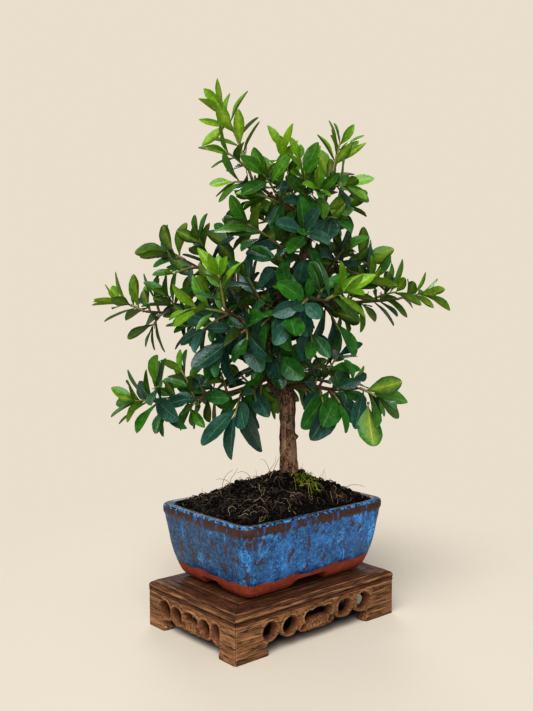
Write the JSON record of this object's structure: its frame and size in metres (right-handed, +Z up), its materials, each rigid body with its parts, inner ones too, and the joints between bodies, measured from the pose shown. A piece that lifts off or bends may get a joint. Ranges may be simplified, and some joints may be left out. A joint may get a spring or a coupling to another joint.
{
  "type": "scarlet firethorn bonsai",
  "caption": "Leafy firethorn tree with a bent trunk in a low rectangular pot on a pierced wooden stand, for display indoors or on a terrace.",
  "frame": {"origin": "on the floor, under the middle of the whole outline", "axes": "+Z up the tree; +X along the long side of the pot and stand; +Y to the back"},
  "size_m": [0.2537, 0.2279, 0.4264],
  "materials": {
    "leaf_mature": "satin",
    "leaf_young": "satin",
    "bark": "matte",
    "glaze": "gloss",
    "soil": "matte",
    "moss": "matte",
    "mesh_plastic": "matte",
    "stand_wood": "satin"
  },
  "bodies": {
    "root": {"drain_mesh_1": "mesh_plastic", "drain_mesh_2": "mesh_plastic", "moss_tuft": "moss", "pot": "glaze", "soil": "soil", "spray_back_left_tip": "leaf_mature", "spray_back_right_tip": "leaf_mature", "spray_breast_front": "leaf_mature", "spray_breast_left": "leaf_mature", "spray_bright_left": "leaf_young", "spray_bright_outer": "leaf_young", "spray_crown_back": "leaf_mature", "spray_crown_front": "leaf_mature", "spray_crown_left": "leaf_mature", "spray_crown_tuft": "leaf_young", "spray_front_hang": "leaf_mature", "spray_front_left_hang": "leaf_mature", "spray_front_low": "leaf_mature", "spray_front_tip": "leaf_young", "spray_high_back_tip": "leaf_young", "spray_high_left_low": "leaf_mature", "spray_high_left_mid": "leaf_mature", "spray_high_left_tip": "leaf_mature", "spray_high_left_up": "leaf_mature", "spray_leader_front": "leaf_mature", "spray_leader_left": "leaf_young", "spray_leader_tip": "leaf_young", "spray_long_left_back": "leaf_mature", "spray_long_left_low": "leaf_mature", "spray_long_left_tip": "leaf_young", "spray_long_left_up": "leaf_mature", "spray_long_right_hang": "leaf_mature", "spray_long_right_tip": "leaf_young", "spray_long_right_up": "leaf_mature", "spray_low_back_side": "leaf_mature", "spray_low_back_tip": "leaf_mature", "spray_low_left_back": "leaf_mature", "spray_low_left_front": "leaf_mature", "spray_low_left_tip": "leaf_mature", "spray_low_left_up": "leaf_young", "spray_low_right_hang": "leaf_mature", "spray_low_right_tip": "leaf_mature", "spray_low_right_up": "leaf_mature", "spray_mid_right_front": "leaf_mature", "spray_mid_right_tip": "leaf_mature", "spray_right_back": "leaf_mature", "spray_right_front": "leaf_young", "spray_right_out": "leaf_mature", "spray_right_side": "leaf_mature", "spray_right_tip": "leaf_young", "stand_apron_back": "stand_wood", "stand_apron_front": "stand_wood", "stand_apron_left": "stand_wood", "stand_apron_right": "stand_wood", "stand_panel": "stand_wood", "stand_rail_back": "stand_wood", "stand_rail_front": "stand_wood", "stand_rail_left": "stand_wood", "stand_rail_right": "stand_wood", "trunk": "bark"}
  },
  "joints": []
}
